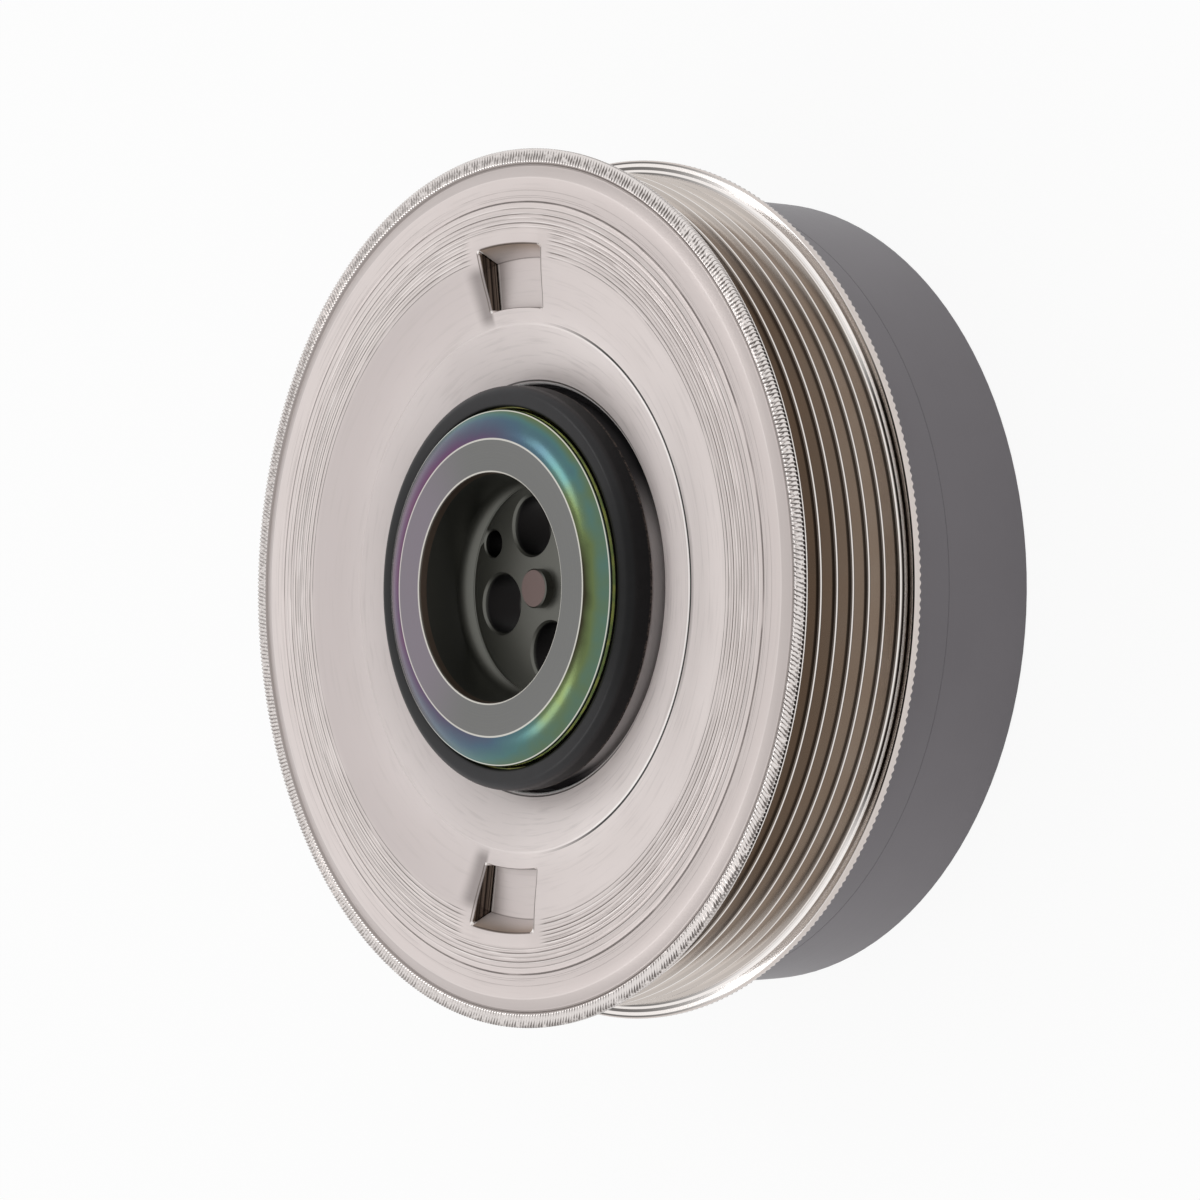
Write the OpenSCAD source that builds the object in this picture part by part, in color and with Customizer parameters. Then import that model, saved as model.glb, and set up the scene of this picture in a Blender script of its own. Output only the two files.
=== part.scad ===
/* [Belt pulley] */
// Diameter over both belt flanges
flange_d = 153.5; // [151.5:0.5:158]
// Diameter over the rib tips
rib_tip_d = 148.3; // [147.5:0.1:149.5]
// Spacing of the belt grooves
rib_pitch = 3.56; // [3.5:0.02:3.7]
// Number of belt grooves
groove_count = 6; // [4:1:8]
// Depth of a belt groove
groove_depth = 3.2; // [2.8:0.1:3.4]
// Angle between the two flanks of a groove
groove_angle = 40; // [38:1:42]
// Radius at the bottom of a groove
groove_root_r = 0.4; // [0.3:0.05:0.5]
// Width of the bevel on a rib's edges
rib_edge_bevel = 0.12; // [0.05:0.01:0.15]
// From the front rim to the middle of the first groove
front_flange_w = 4.67; // [4.4:0.1:5.4]
// From the middle of the last groove to the back rim
rear_flange_w = 4.23; // [3.8:0.1:5]
// Thickness of a flange at its tip
flange_tip_t = 1.1; // [0.8:0.1:1.4]
// Thickness of the sheet in the pulley's face
sheet_t = 2.3; // [2:0.1:2.8]
// Wall left under a groove
drum_wall = 2.3; // [2:0.1:2.8]
// Inner bend radius between the face and the drum
drum_bend_r = 2; // [1:0.5:3]

/* [Pulley face] */
// Width of the knurled band round the front rim
rim_band_w = 2.35; // [2:0.05:2.8]
// Fall of the knurled band towards its inner edge
rim_band_fall = 0.3; // [0.1:0.05:0.5]
// Width of the seam groove inside the knurled band
seam_w = 0.8; // [0.6:0.1:1.2]
// Width of the bevel between the seam groove and the flat face
seam_bevel_w = 1.85; // [1.5:0.05:2.2]
// Depth of the seam groove
seam_depth = 0.55; // [0.4:0.05:0.7]
// Diameter of the turned line in the flat face
turned_line_d = 135.2; // [130:0.2:138]
// Width of the turned line
turned_line_w = 0.5; // [0.3:0.1:0.8]
// Depth of the turned line
turned_line_depth = 0.5; // [0.2:0.1:0.8]
// Diameter inside which the face is dished
dish_d = 118.8; // [112:0.4:124]
// How quickly the dish falls away, 1 is a straight cone
dish_shape = 1.37; // [1.1:0.01:1.7]
// Diameter of the small pressed step in the dish
step_d = 92.6; // [86:0.2:96]
// Height of the pressed step
step_h = 0.3; // [0.1:0.05:0.4]
// Gap between the rubber bead and the edge of the opening in the face
opening_gap = 1.2; // [0.8:0.1:2]
// How far the edge of the opening lies behind the front rim
hole_depth = 5.9; // [5:0.1:7]
// Radius of the rolled edge of the opening
hole_edge_r = 0.9; // [0.5:0.1:1.2]

/* [Stop pockets] */
// Number of pockets pressed into the face
pocket_count = 2; // [1:1:3]
// Width of a pocket half way along it
pocket_w = 15.2; // [12:0.2:18]
// Length of a pocket's floor, measured outwards
pocket_len = 8.8; // [7:0.2:10]
// From the drum's bore in to the outer edge of a pocket
pocket_rim_room = 8.35; // [7.6:0.05:9]
// Depth of a pocket's floor behind the front rim
pocket_depth = 4.2; // [3.6:0.1:5]
// Width of the slope at a pocket's outer end
pocket_slope = 2.2; // [1.5:0.1:3]
// Thickness of the drawn metal round a pocket
pocket_wall = 1.6; // [1.2:0.1:2]

/* [Hub nose] */
// Diameter of the machined nose face
nose_face_d = 52; // [48:0.5:54]
// How far the nose stands in front of the rim
nose_reach = 3.6; // [2.5:0.1:5]
// Diameter of the hub's pressed-on seat
seat_d = 62.4; // [61.6:0.2:62.8]
// How far the seat reaches in front of the rim
seat_reach = 1.75; // [1.5:0.05:2.2]
// Crown of the band between the nose face and the seat
nose_crown = 0.35; // [0.1:0.05:0.5]
// Diameter of the recess at its mouth
recess_d = 40.5; // [39.5:0.5:42]
// Narrowing of the recess behind its mouth
recess_taper = 0.3; // [0.2:0.1:0.5]
// Length of the tapered mouth
recess_taper_len = 1.6; // [1:0.1:2.5]
// Depth of the recess from the nose face to its floor
recess_depth = 11.9; // [10:0.1:13]
// Fillet between the recess wall and its floor
recess_fillet = 4; // [3:0.5:5]
// From the recess wall in to the edge of the spot-faced floor
floor_inset = 1.45; // [1:0.05:2]
// Depth of the spot face below the fillet's foot
floor_step = 0.6; // [0.3:0.1:0.8]
// Diameter of the stub in the middle of the floor
stub_d = 7; // [5:0.5:9]
// Height of the stub
stub_h = 1.8; // [1:0.1:3]

/* [Crankshaft joint] */
// Number of crankshaft bolts
bolt_count = 4; // [3:1:4]
// Pitch circle of the bolts
bolt_circle_d = 23; // [22:0.5:25]
// Diameter of a bolt hole
bolt_hole_d = 10.5; // [9:0.5:11]
// Turn of the first bolt hole from the X axis
bolt_turn = 14; // [0:1:30]
// Bevel at a bolt hole's mouth
bolt_bevel = 0.4; // [0.2:0.1:0.6]
// Diameter of the dowel hole
dowel_d = 4.8; // [4:0.1:5]
// Circle on which the dowel hole lies
dowel_circle_d = 32; // [31:0.2:32.4]
// Turn of the dowel hole from the X axis
dowel_turn = 150; // [146:1:154]
// Thickness of the clamped floor
floor_t = 9; // [7:0.5:11]
// Diameter of the register bore that fits the crankshaft
register_d = 42; // [40:0.5:46]
// Bevel at the register bore's mouth
register_bevel = 1; // [0.5:0.1:1.5]

/* [Decoupler] */
// Thickness of the carrier's sheet
carrier_t = 1.6; // [1.2:0.1:2]
// Space between the carrier's flange and the pulley face
carrier_gap = 1.2; // [0.8:0.1:2]
// How far the edge of the carrier's sleeve lies behind the rim
carrier_fall = 0.5; // [0.2:0.1:1]
// Inner bend radius of the carrier
carrier_bend_r = 0.8; // [0.5:0.1:1.2]
// Width of metal left outside the carrier's windows
carrier_bridge = 2.4; // [2:0.1:3]
// Number of moulding holes through the carrier
flow_hole_count = 12; // [8:1:16]
// Diameter of a moulding hole
flow_hole_d = 2; // [1.5:0.1:2.2]
// Thickness of the rubber bead outside the carrier's sleeve
bead_t = 2.7; // [2.2:0.1:3.2]
// Reach of the rubber bead in front of the rim
bead_reach = 0.95; // [0.7:0.05:1.2]
// Length of the bead's straight side
bead_side = 3.2; // [2:0.1:4]
// Bore of the pressed ring that holds the rubber
ring_bore_d = 92.6; // [90:0.2:93]
// Thickness of the pressed ring's sheet
ring_t = 2; // [1.5:0.1:2.5]
// Length of the pressed ring's rim in the drum
ring_rim_len = 10; // [8:0.5:12]
// Length of the rubber's chamber behind the carrier
chamber_len = 12.5; // [11:0.5:15]
// Space between the carrier's sleeve and the lip that closes the chamber
lip_room = 5.2; // [4:0.1:7]
// Thickness of the bonding film on the rubber
bond_film = 0.1; // [0.05:0.01:0.2]
// Twist of the pulley to each side until a pocket meets its stop
twist = 12; // [8:1:15]
// Space left beside a pocket at full twist
stop_gap = 0.3; // [0.2:0.1:0.6]
// Space between parts that turn past each other
air_gap = 1.2; // [0.8:0.1:2]

/* [Plain bearing] */
// Thickness of the bearing bush
bush_t = 2; // [1.5:0.1:2.5]
// Thickness of the bush's thrust flange
bush_flange_t = 1.5; // [1:0.1:2]
// Length of the bush behind its flange
bush_len = 8.3; // [6:0.1:8.5]
// Radial running gap of the bearing
running_gap = 0.05; // [0.02:0.01:0.1]
// Axial gap at the thrust flange
thrust_gap = 0.1; // [0.05:0.01:0.2]
// Wall of the hub collar round the bush
collar_t = 4.6; // [3.5:0.1:4.8]

/* [Hub web and damper] */
// Thickness of the hub's web
web_t = 5.5; // [4.5:0.5:8]
// Fillets where the web meets the hub and the rim
web_fillet = 3; // [2:0.5:4]
// Diameter of the hub's rim over the damper track
track_d = 104; // [103:0.2:105]
// Thickness of the hub's rim
rim_t = 4.5; // [4:0.5:6]
// How far the hub's rim ends inside the back face
rim_inset = 1.2; // [0.5:0.1:2]
// Thickness of the damper rubber
damper_t = 3.5; // [3:0.1:4.5]
// Waist of the damper track that locks the rubber
track_waist = 0.8; // [0.4:0.1:1]
// How far the damper rubber lies inside the ring's faces
damper_inset = 0.8; // [0.4:0.1:1.2]
// Outside diameter of the inertia ring
inertia_d = 143.1; // [138:0.1:147]
// Length of the inertia ring
inertia_len = 28; // [24:0.5:36]
// Gap between the pulley's back rim and the inertia ring
inertia_gap = 2.8; // [2:0.1:4]
// Bevel on the inertia ring's edges
inertia_bevel = 0.8; // [0.5:0.1:1.5]
// Height of the scribed line above the ring's back face
scribe_h = 19.4; // [6:0.2:21]
// Depth of the scribed line
scribe_depth = 0.12; // [0.05:0.01:0.2]

/* [Hidden] */

smooth = 180;
tiny = 0.01;

flange_r = flange_d / 2;
rib_tip_r = rib_tip_d / 2;
drum_bore_r = rib_tip_r - groove_depth - drum_wall;
dish_r = dish_d / 2;
step_r = step_d / 2;
step_half_w = 0.15;
seat_r = seat_d / 2;
sleeve_r = seat_r + carrier_t;
bead_r = sleeve_r + bead_t;
hole_r = bead_r + opening_gap;
lip_r = sleeve_r + lip_room;
recess_wall_r = recess_d / 2 - recess_taper;
floor_r = recess_wall_r - floor_inset;
ring_bore_r = ring_bore_d / 2;
rubber_r = ring_bore_r - bond_film;
ring_out_r = ring_bore_r + ring_t;
bush_bore_r = ring_out_r + running_gap;
collar_bore_r = bush_bore_r + bush_t;
collar_r = collar_bore_r + collar_t;
track_r = track_d / 2;
inertia_bore_r = track_r + damper_t;
inertia_r = inertia_d / 2;
pocket_mouth_r = drum_bore_r - pocket_rim_room;
pocket_out_r = pocket_mouth_r - pocket_slope;
pocket_in_r = pocket_out_r - pocket_len;
pocket_mid_r = pocket_in_r + pocket_len / 2;

pulley_depth = front_flange_w + (groove_count - 1) * rib_pitch + rear_flange_w;
floor_depth = recess_depth - nose_reach;
clamp_depth = floor_depth + floor_t;
carrier_face_depth = hole_depth + sheet_t + carrier_gap;
ring_front_depth = max(carrier_back(ring_bore_r), pocket_depth + pocket_wall) + air_gap;
chamber_end_depth = ring_front_depth + chamber_len;
collar_depth = ring_front_depth + ring_t + thrust_gap + bush_flange_t;
web_depth = max(chamber_end_depth, clamp_depth - web_t + register_bevel) + air_gap;
web_back_depth = web_depth + web_t;
inertia_depth = max(pulley_depth + inertia_gap, web_back_depth + air_gap - damper_inset / 2);
total_depth = inertia_depth + inertia_len;

pocket_half_angle = asin(pocket_w / 2 / pocket_mid_r);
pocket_back_angle = pocket_half_angle + asin(pocket_wall / pocket_in_r);
window_in_r = pocket_in_r - pocket_wall - stop_gap * 2;
window_out_r = pocket_mouth_r + pocket_wall + stop_gap * 2;
window_half_angle = pocket_back_angle + twist + asin(stop_gap / window_in_r);
carrier_r = window_out_r + carrier_bridge;

// Points of an arc round c, from angle a0 to angle a1
function arc(c, r, a0, a1, n = 5) =
    [for (i = [0:n]) c + r * [cos(a0 + (a1 - a0) * i / n), sin(a0 + (a1 - a0) * i / n)]];

// Depth of the dished face behind the front rim at radius r
function dish(r) =
    r >= dish_r ? 0
    : r <= hole_r ? hole_depth
    : hole_depth * pow((dish_r - r) / (dish_r - hole_r), dish_shape);

// The same inside the pressed step, where the metal stands a little proud
function inner_dish(r) = dish(r) - step_h * (r - hole_r) / (step_r - hole_r);

// Depth of the carrier's front and back at radius r
function carrier_front(r) = dish(r) + sheet_t + carrier_gap;
function carrier_back(r) = carrier_front(r) + carrier_t;

// Radii from a to b in n equal steps
function radii(a, b, n) = [for (i = [0:n]) a + (b - a) * i / n];

// Radii along the carrier's flange, the first ones shared with the rubber moulded to its back
bonded_radii = radii(hole_r, rubber_r, 5);
flange_radii = concat(bonded_radii, [for (i = [1:5]) rubber_r + (carrier_r - rubber_r) * i / 5]);

function reversed(list) = [for (i = [len(list) - 1:-1:0]) list[i]];

// A turned solid from points [radius, depth behind the front rim]
module turned(points) {
    rotate_extrude($fn = smooth)
        polygon([for (p = points) [p[0], total_depth - p[1]]]);
}

// A part turn of the same kind, half_angle to each side of the +Y axis
module turned_sector(points, half_angle) {
    rotate([0, 0, 90 - half_angle])
        rotate_extrude(angle = 2 * half_angle, $fn = smooth)
            polygon([for (p = points) [p[0], total_depth - p[1]]]);
}

module at_each_pocket() {
    for (i = [0:pocket_count - 1])
        rotate([0, 0, 360 / pocket_count * i])
            children();
}

// Outline of one belt groove round the depth c, from its front edge to its back edge
function groove(c) =
    let (h = groove_angle / 2,
         root = groove_root_r,
         half_w = root * cos(h) + (groove_depth - root * (1 - sin(h))) * tan(h),
         e = rib_edge_bevel)
    concat(
        [[rib_tip_r, c - half_w - e], [rib_tip_r - e, c - half_w + e * tan(h)]],
        arc([rib_tip_r - groove_depth + root, c], root, 270 - h, 90 + h, 6),
        [[rib_tip_r - e, c + half_w - e * tan(h)], [rib_tip_r, c + half_w + e]]
    );

groove_outline = [for (i = [0:groove_count - 1]) each groove(front_flange_w + i * rib_pitch)];

// Front rim: flange tip, knurled band, seam groove and bevel, read inwards
rim_outline =
    let (band_in_r = flange_r - rim_band_w,
         bevel_out_r = band_in_r - seam_w,
         edge = 0.3)
    [
        [flange_r - edge, flange_tip_t + edge],
        [flange_r, flange_tip_t],
        [flange_r, edge],
        [flange_r - edge, 0],
        [band_in_r, rim_band_fall],
        [(band_in_r + bevel_out_r) / 2, seam_depth],
        [bevel_out_r, seam_depth],
        [bevel_out_r - seam_bevel_w, 0]
    ];

line_outline =
    [
        [(turned_line_d + turned_line_w) / 2, 0],
        [turned_line_d / 2, turned_line_depth],
        [(turned_line_d - turned_line_w) / 2, 0]
    ];

face_outline = concat(
    [for (r = radii(dish_r, step_r + step_half_w, 7)) [r, dish(r)]],
    [for (r = radii(step_r - step_half_w, hole_r + hole_edge_r, 6)) [r, inner_dish(r)]],
    arc([hole_r + hole_edge_r, hole_depth + hole_edge_r], hole_edge_r, 270, 180, 4)
);

back_outline =
    let (bevel = 0.6)
    concat(
        [for (r = radii(hole_r, dish_r, 10)) [r, dish(r) + sheet_t]],
        arc([drum_bore_r - drum_bend_r, sheet_t + drum_bend_r], drum_bend_r, 270, 360, 4),
        [[drum_bore_r, pulley_depth - bevel], [drum_bore_r + bevel, pulley_depth]]
    );

// Back rim: a short rise from the last rib to the flange tip
rear_outline =
    let (tip_depth = pulley_depth - flange_tip_t / 2,
         rise = flange_r - rib_tip_r,
         foot = 1.4,
         edge = 0.3)
    [
        [rib_tip_r + rise * 0.04, tip_depth - foot],
        [rib_tip_r + rise * 0.35, tip_depth - foot / 2],
        [flange_r - edge, tip_depth - edge],
        [flange_r, tip_depth],
        [flange_r - edge, pulley_depth]
    ];

// Flow-formed and pressed sheet steel pulley: dished face, pockets and grooved drum
module pulley() {
    color([0.80, 0.76, 0.75])
        difference() {
            union() {
                turned(concat(
                    back_outline, reversed(rear_outline), reversed(groove_outline),
                    rim_outline, line_outline, face_outline));
                at_each_pocket() pocket_back();
            }
            at_each_pocket() pocket_hollow();
        }
}

module pocket_hollow() {
    clear = 3;
    turned_sector([
        [pocket_in_r, pocket_depth],
        [pocket_out_r, pocket_depth],
        [pocket_mouth_r, 0],
        [pocket_mouth_r, -clear],
        [pocket_in_r, -clear]
    ], pocket_half_angle);
}

module pocket_back() {
    inside = 0.6;
    turned_sector([
        [pocket_in_r - pocket_wall, dish(pocket_in_r) + inside],
        [pocket_in_r - pocket_wall, pocket_depth + pocket_wall],
        [pocket_out_r + pocket_wall / 2, pocket_depth + pocket_wall],
        [pocket_mouth_r + pocket_wall, sheet_t],
        [pocket_mouth_r + pocket_wall, inside],
        [pocket_out_r, inside]
    ], pocket_back_angle);
}

// Depth share of the damper track, 0 at its ends and 1 at its waist
function waist(t) = t < 0.25 || t > 0.75 ? 0 : t < 0.4 ? (t - 0.25) / 0.15 : t > 0.6 ? (0.75 - t) / 0.15 : 1;

// Points along the damper track at radius r, from its front to its back
function track(r) =
    let (a = inertia_depth + damper_inset, b = total_depth - rim_inset - damper_inset)
    [for (t = [0, 0.25, 0.4, 0.6, 0.75, 1]) [r - track_waist * waist(t), a + (b - a) * t]];

// Turned steel forging: nose, clamped floor, web, bearing collar and damper rim
module hub() {
    fillet_run = recess_fillet - floor_inset;
    fillet_rise = sqrt(pow(recess_fillet, 2) - pow(fillet_run, 2));
    fillet_c = [recess_wall_r - recess_fillet, floor_depth - floor_step - fillet_rise];
    rim_in_r = track_r - rim_t;
    rim_end = total_depth - rim_inset;
    edge = 0.5;
    color([0.50, 0.52, 0.50])
        difference() {
            turned(concat(
                [[0, floor_depth]],
                [[floor_r, floor_depth], [floor_r, floor_depth - floor_step]],
                arc(fillet_c, recess_fillet,
                    acos(fillet_run / recess_fillet), 0, 5),
                [[recess_wall_r, recess_taper_len - nose_reach], [recess_d / 2, -nose_reach]],
                [[nose_face_d / 2, -nose_reach]],
                nose_band(),
                [[seat_r, web_depth - web_fillet]],
                arc([seat_r + web_fillet, web_depth - web_fillet], web_fillet, 180, 90),
                [[collar_bore_r, web_depth], [collar_bore_r, collar_depth],
                 [collar_r - edge, collar_depth], [collar_r, collar_depth + edge],
                 [collar_r, web_back_depth - edge], [collar_r - edge, web_back_depth],
                 [track_r, web_back_depth]],
                track(track_r),
                [[track_r, rim_end - edge], [track_r - edge, rim_end],
                 [rim_in_r + edge, rim_end], [rim_in_r, rim_end - edge]],
                arc([rim_in_r - web_fillet, web_back_depth + web_fillet], web_fillet, 0, -90),
                [[register_d / 2 + register_bevel, web_back_depth],
                 [register_d / 2, web_back_depth - register_bevel],
                 [register_d / 2, clamp_depth], [0, clamp_depth]]));
            crank_holes();
        }
    color([0.60, 0.53, 0.51])
        translate([0, 0, total_depth - floor_depth - tiny])
            cylinder(d = stub_d, h = stub_h + tiny, $fn = 48);
}

// Crowned band from the nose face down to the seat
function nose_band() =
    let (n = 6, edge = 0.4,
         a = [nose_face_d / 2, -nose_reach],
         b = [seat_r - edge, -seat_reach])
    concat(
        [for (i = [1:n]) let (t = i / n) a + (b - a) * t - [0, nose_crown * 4 * t * (1 - t)]],
        [[seat_r, -seat_reach + edge]]
    );

module crank_holes() {
    past = 1;
    for (i = [0:bolt_count - 1])
        rotate([0, 0, bolt_turn + 360 / bolt_count * i])
            translate([bolt_circle_d / 2, 0, total_depth - clamp_depth - past]) {
                cylinder(d = bolt_hole_d, h = floor_t + 2 * past, $fn = 64);
                translate([0, 0, past + floor_t - bolt_bevel])
                    cylinder(d1 = bolt_hole_d, d2 = bolt_hole_d + 4 * bolt_bevel,
                             h = 2 * bolt_bevel, $fn = 64);
            }
    rotate([0, 0, dowel_turn])
        translate([dowel_circle_d / 2, 0, total_depth - clamp_depth - past])
            cylinder(d = dowel_d, h = floor_t + 2 * past, $fn = 48);
}

flow_land = 1;
foot_land = 0.4;
flow_circle_r = sleeve_r + carrier_bend_r + flow_hole_d / 2 + flow_land;
foot_r = flow_circle_r + flow_hole_d / 2 + foot_land;

module flow_holes(h0, h1) {
    for (i = [0:flow_hole_count - 1])
        rotate([0, 0, 360 / flow_hole_count * i])
            translate([flow_circle_r, 0, total_depth - h1])
                cylinder(d = flow_hole_d, h = h1 - h0, $fn = 24);
}

// Deep-drawn carrier pressed on the hub: sleeve and dished flange with two stop windows
module carrier() {
    bend_c = [sleeve_r + carrier_bend_r, carrier_face_depth - carrier_bend_r];
    edge = 0.35;
    color([0.60, 0.62, 0.42])
        difference() {
            turned(concat(
                [[seat_r, carrier_fall + edge], [seat_r + edge, carrier_fall],
                 [sleeve_r - edge, carrier_fall], [sleeve_r, carrier_fall + edge]],
                arc(bend_c, carrier_bend_r, 180, 90, 3),
                [for (r = flange_radii) [r, carrier_front(r)]],
                [for (r = reversed(flange_radii)) [r, carrier_back(r)]],
                arc(bend_c, carrier_bend_r + carrier_t, 90, 180, 4)));
            at_each_pocket()
                turned_sector([
                    [window_in_r, -air_gap], [window_out_r, -air_gap],
                    [window_out_r, carrier_back(hole_r)], [window_in_r, carrier_back(hole_r)]
                ], window_half_angle);
            flow_holes(carrier_face_depth - air_gap, carrier_face_depth + carrier_t + air_gap);
        }
}

// Moulded rubber: the bead seen in the opening, and the spring behind the carrier
module decoupler_rubber() {
    bend_c = [sleeve_r + carrier_bend_r, carrier_face_depth - carrier_bend_r];
    edge = 0.5;
    bead_round = 1.6;
    neck_in = 0.9;
    neck_slope = 1;
    neck_r = bead_r - neck_in;
    foot_t = 0.5;
    foot_fillet = 0.8;
    neck_depth = bead_side - bead_reach + bead_round;
    foot_depth = carrier_face_depth - foot_t;
    lip_front = chamber_end_depth - ring_t - bond_film;
    end_round = 2.5;
    end_slope = 3;
    color([0.07, 0.07, 0.08]) {
        turned(concat(
            [[sleeve_r, edge - bead_reach], [sleeve_r + edge, edge / 5 - bead_reach]],
            arc([bead_r - bead_round, bead_round - bead_reach], bead_round, 270, 360, 5),
            [[bead_r, neck_depth], [neck_r, neck_depth + neck_slope],
             [neck_r, foot_depth - foot_fillet], [neck_r + foot_fillet, foot_depth],
             [foot_r, foot_depth], [foot_r, carrier_face_depth]],
            arc(bend_c, carrier_bend_r, 90, 180, 3)));
        turned(concat(
            [[sleeve_r + carrier_bend_r, carrier_face_depth + carrier_t]],
            [for (r = bonded_radii) [r, carrier_back(r)]],
            [[rubber_r, lip_front], [lip_r, lip_front], [lip_r - lip_room * 0.3, lip_front - end_round],
             [sleeve_r + lip_room * 0.46, lip_front - end_round - end_slope]]));
        flow_holes(carrier_face_depth - tiny, carrier_face_depth + carrier_t + tiny);
    }
}

// Pressed ring: rim in the drum, disc, bearing sleeve and the lip behind the rubber
module decoupler_ring() {
    rim_in_r = drum_bore_r - ring_t;
    bend = ring_t / 2;
    color([0.45, 0.46, 0.48])
        turned(concat(
            [[ring_bore_r, ring_front_depth + bend], [ring_bore_r + bend, ring_front_depth],
             [drum_bore_r - bend, ring_front_depth], [drum_bore_r, ring_front_depth + bend],
             [drum_bore_r, ring_front_depth + ring_rim_len],
             [rim_in_r, ring_front_depth + ring_rim_len],
             [rim_in_r, ring_front_depth + ring_t],
             [ring_out_r, ring_front_depth + ring_t],
             [ring_out_r, chamber_end_depth - bend], [ring_out_r - bend, chamber_end_depth],
             [lip_r, chamber_end_depth], [lip_r, chamber_end_depth - ring_t],
             [ring_bore_r, chamber_end_depth - ring_t]]));
}

// Flanged plain bearing pressed into the hub's collar
module bearing_bush() {
    front = collar_depth - bush_flange_t;
    flange_inset = 1;
    flange_out_r = collar_r - flange_inset;
    color([0.85, 0.83, 0.76])
        turned([
            [bush_bore_r, front], [flange_out_r, front], [flange_out_r, collar_depth],
            [collar_bore_r, collar_depth], [collar_bore_r, collar_depth + bush_len],
            [bush_bore_r, collar_depth + bush_len]
        ]);
}

// Rubber ring pressed between the hub's rim and the inertia ring
module damper_rubber() {
    inner = track(track_r);
    outer = track(inertia_bore_r);
    color([0.07, 0.07, 0.08])
        turned(concat(inner, reversed(outer)));
}

// Cast and turned inertia ring with a black coat
module inertia_ring() {
    e = inertia_bevel;
    scribe = total_depth - scribe_h;
    color([0.38, 0.38, 0.39])
        turned(concat(
            [[inertia_bore_r + e, inertia_depth], [inertia_r - e, inertia_depth],
             [inertia_r, inertia_depth + e],
             [inertia_r, scribe - scribe_depth], [inertia_r - scribe_depth, scribe],
             [inertia_r, scribe + scribe_depth],
             [inertia_r, total_depth - e], [inertia_r - e, total_depth],
             [inertia_bore_r + e, total_depth], [inertia_bore_r, total_depth - e]],
            reversed(track(inertia_bore_r))));
}

hub();
carrier();
decoupler_rubber();
decoupler_ring();
bearing_bush();
pulley();
damper_rubber();
inertia_ring();
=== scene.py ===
"""Looks of a harmonic balancer: a sheet steel belt pulley that a rubber ring carries on a
crankshaft hub, with an inertia ring behind. Lengths are in millimetres until a mesh is made."""

from math import asin, atan2, cos, degrees, hypot, pi, radians, sin, sqrt, tan

import bpy
from mathutils import Matrix, Vector


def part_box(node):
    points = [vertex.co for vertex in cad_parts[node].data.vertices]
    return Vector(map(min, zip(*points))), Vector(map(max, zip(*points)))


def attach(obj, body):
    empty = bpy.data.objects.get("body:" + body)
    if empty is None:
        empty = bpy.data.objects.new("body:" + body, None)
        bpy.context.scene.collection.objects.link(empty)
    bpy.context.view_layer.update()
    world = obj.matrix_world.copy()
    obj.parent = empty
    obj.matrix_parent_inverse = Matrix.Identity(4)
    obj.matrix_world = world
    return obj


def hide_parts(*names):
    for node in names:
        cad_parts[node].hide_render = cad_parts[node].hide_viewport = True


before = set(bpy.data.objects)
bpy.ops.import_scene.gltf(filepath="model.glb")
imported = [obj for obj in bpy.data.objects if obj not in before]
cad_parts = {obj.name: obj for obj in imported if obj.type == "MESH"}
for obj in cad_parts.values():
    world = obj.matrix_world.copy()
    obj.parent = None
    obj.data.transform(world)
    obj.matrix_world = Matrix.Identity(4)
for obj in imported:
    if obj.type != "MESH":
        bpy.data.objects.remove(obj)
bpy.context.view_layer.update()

# The studio. The part stands on its back face on a pale floor, in soft and even light, and the
# camera looks at it from the side and above. The metal sees the same white as the camera.
mm = 0.001
pulley_low, pulley_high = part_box("pulley")
rim_z = pulley_high.z / mm
flange_r = pulley_high.x / mm

view_turn = radians(50.37)
view_roll = radians(0.58)
view_distance = 630.4
view_right = 16.8
view_down = 2.1
picture_px = 1200
focal_px = 3600
sensor_w = 36
floor_r = 4000
floor_gap = 0.05
floor_whiteness = 0.92
floor_gray = (0.80, 0.80, 0.80, 1)
room_gray = (0.66, 0.66, 0.66, 1)
white = (1, 1, 1, 1)


def srgb(red, green, blue):
    """A colour given as it looks on a screen, from 0 to 255."""
    def linear(share):
        return share / 12.92 if share <= 0.04045 else ((share + 0.055) / 1.055) ** 2.4
    return (linear(red / 255), linear(green / 255), linear(blue / 255), 1)


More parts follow.
